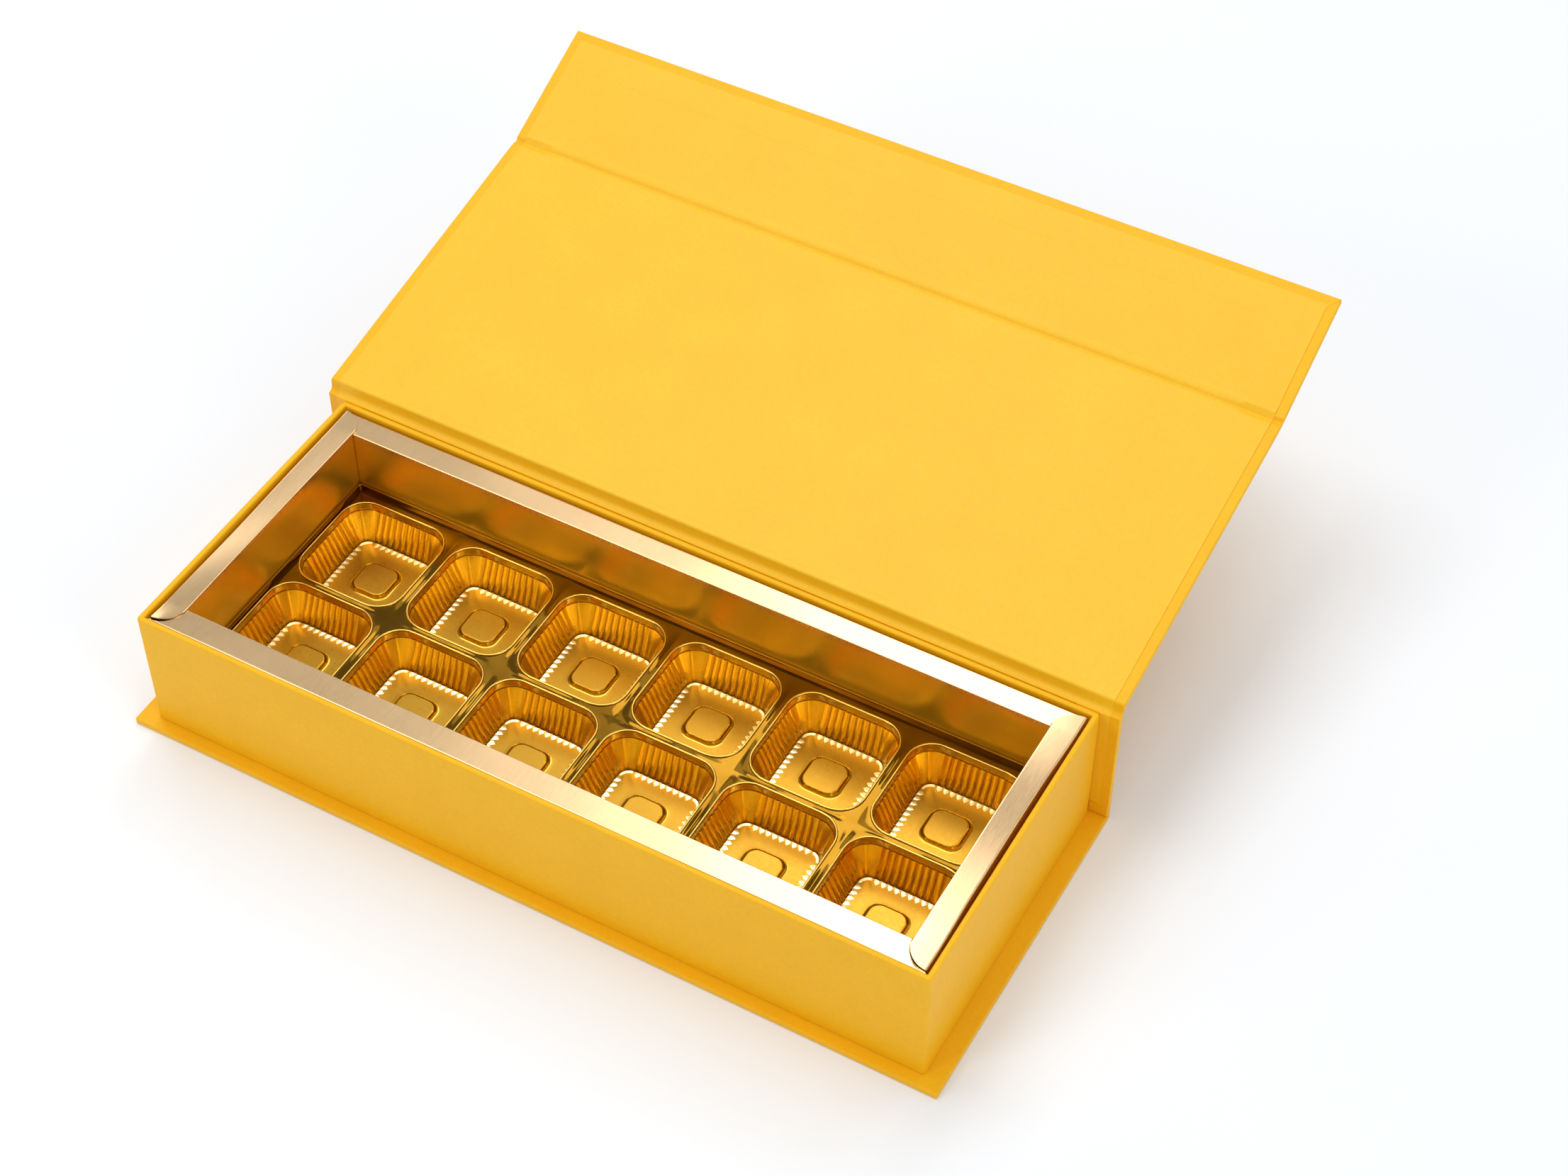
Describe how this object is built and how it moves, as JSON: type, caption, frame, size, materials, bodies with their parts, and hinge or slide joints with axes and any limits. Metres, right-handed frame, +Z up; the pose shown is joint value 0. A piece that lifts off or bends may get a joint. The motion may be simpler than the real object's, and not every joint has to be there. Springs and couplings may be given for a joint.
{
  "type": "chocolate box",
  "caption": "Book-style rigid gift box with a hinged lid and a fold-over magnetic flap, a lift-out gold card insert and a fluted cavity tray for chocolates.",
  "frame": {"origin": "underside of the base, below the middle of the tray", "axes": "+X along the box to the right, the front faces -Y, +Z up"},
  "size_m": [0.2614, 0.2508, 0.0844],
  "materials": {
    "yellow_paper": "satin",
    "liner_paper": "satin",
    "greyboard": "matte",
    "tape": "matte",
    "magnet": "gloss",
    "steel": "satin",
    "gold_card": "satin",
    "gold_film": "gloss"
  },
  "bodies": {
    "base": {"base_board": "greyboard", "base_cover_paper": "yellow_paper", "base_crease_paper": "yellow_paper", "spine_board": "greyboard", "spine_cover_paper": "yellow_paper", "spine_liner_paper": "liner_paper", "lid_crease_paper": "yellow_paper", "tray_floor_board": "greyboard", "tray_front_wall_board": "greyboard", "tray_back_wall_board": "greyboard", "tray_left_wall_board": "greyboard", "tray_right_wall_board": "greyboard", "tray_corner_tapes": "tape", "tray_cover_paper": "yellow_paper", "front_wall_keepers": "steel"},
    "lid": {"lid_board": "greyboard", "lid_cover_paper": "yellow_paper", "lid_liner_paper": "liner_paper", "flap_crease_paper": "yellow_paper"},
    "flap": {"flap_board": "greyboard", "flap_cover_paper": "yellow_paper", "flap_liner_paper": "liner_paper", "flap_magnets": "magnet"},
    "insert": {"card_insert": "gold_card"},
    "cavity_tray": {"cavity_tray": "gold_film"}
  },
  "joints": [
    {"name": "lid_hinge", "type": "hinge", "parent": "base", "child": "lid", "pos_m": [0, 0.05255, 0.0472], "axis": [-1, 0, 0], "range_deg": [-170.2, 20], "deforming": ["lid_crease_paper"]},
    {"name": "flap_hinge", "type": "hinge", "parent": "lid", "child": "flap", "pos_m": [0, 0.15661, 0.06517], "axis": [-1, 0, 0], "range_deg": [-76.1, 30], "deforming": ["flap_crease_paper"]},
    {"name": "insert_lift", "type": "slide", "parent": "base", "child": "insert", "axis": [0, 0, 1], "range_m": [0, 0.06]},
    {"name": "cavity_tray_lift", "type": "slide", "parent": "insert", "child": "cavity_tray", "axis": [0, 0, 1], "range_m": [0, 0.06]}
  ]
}
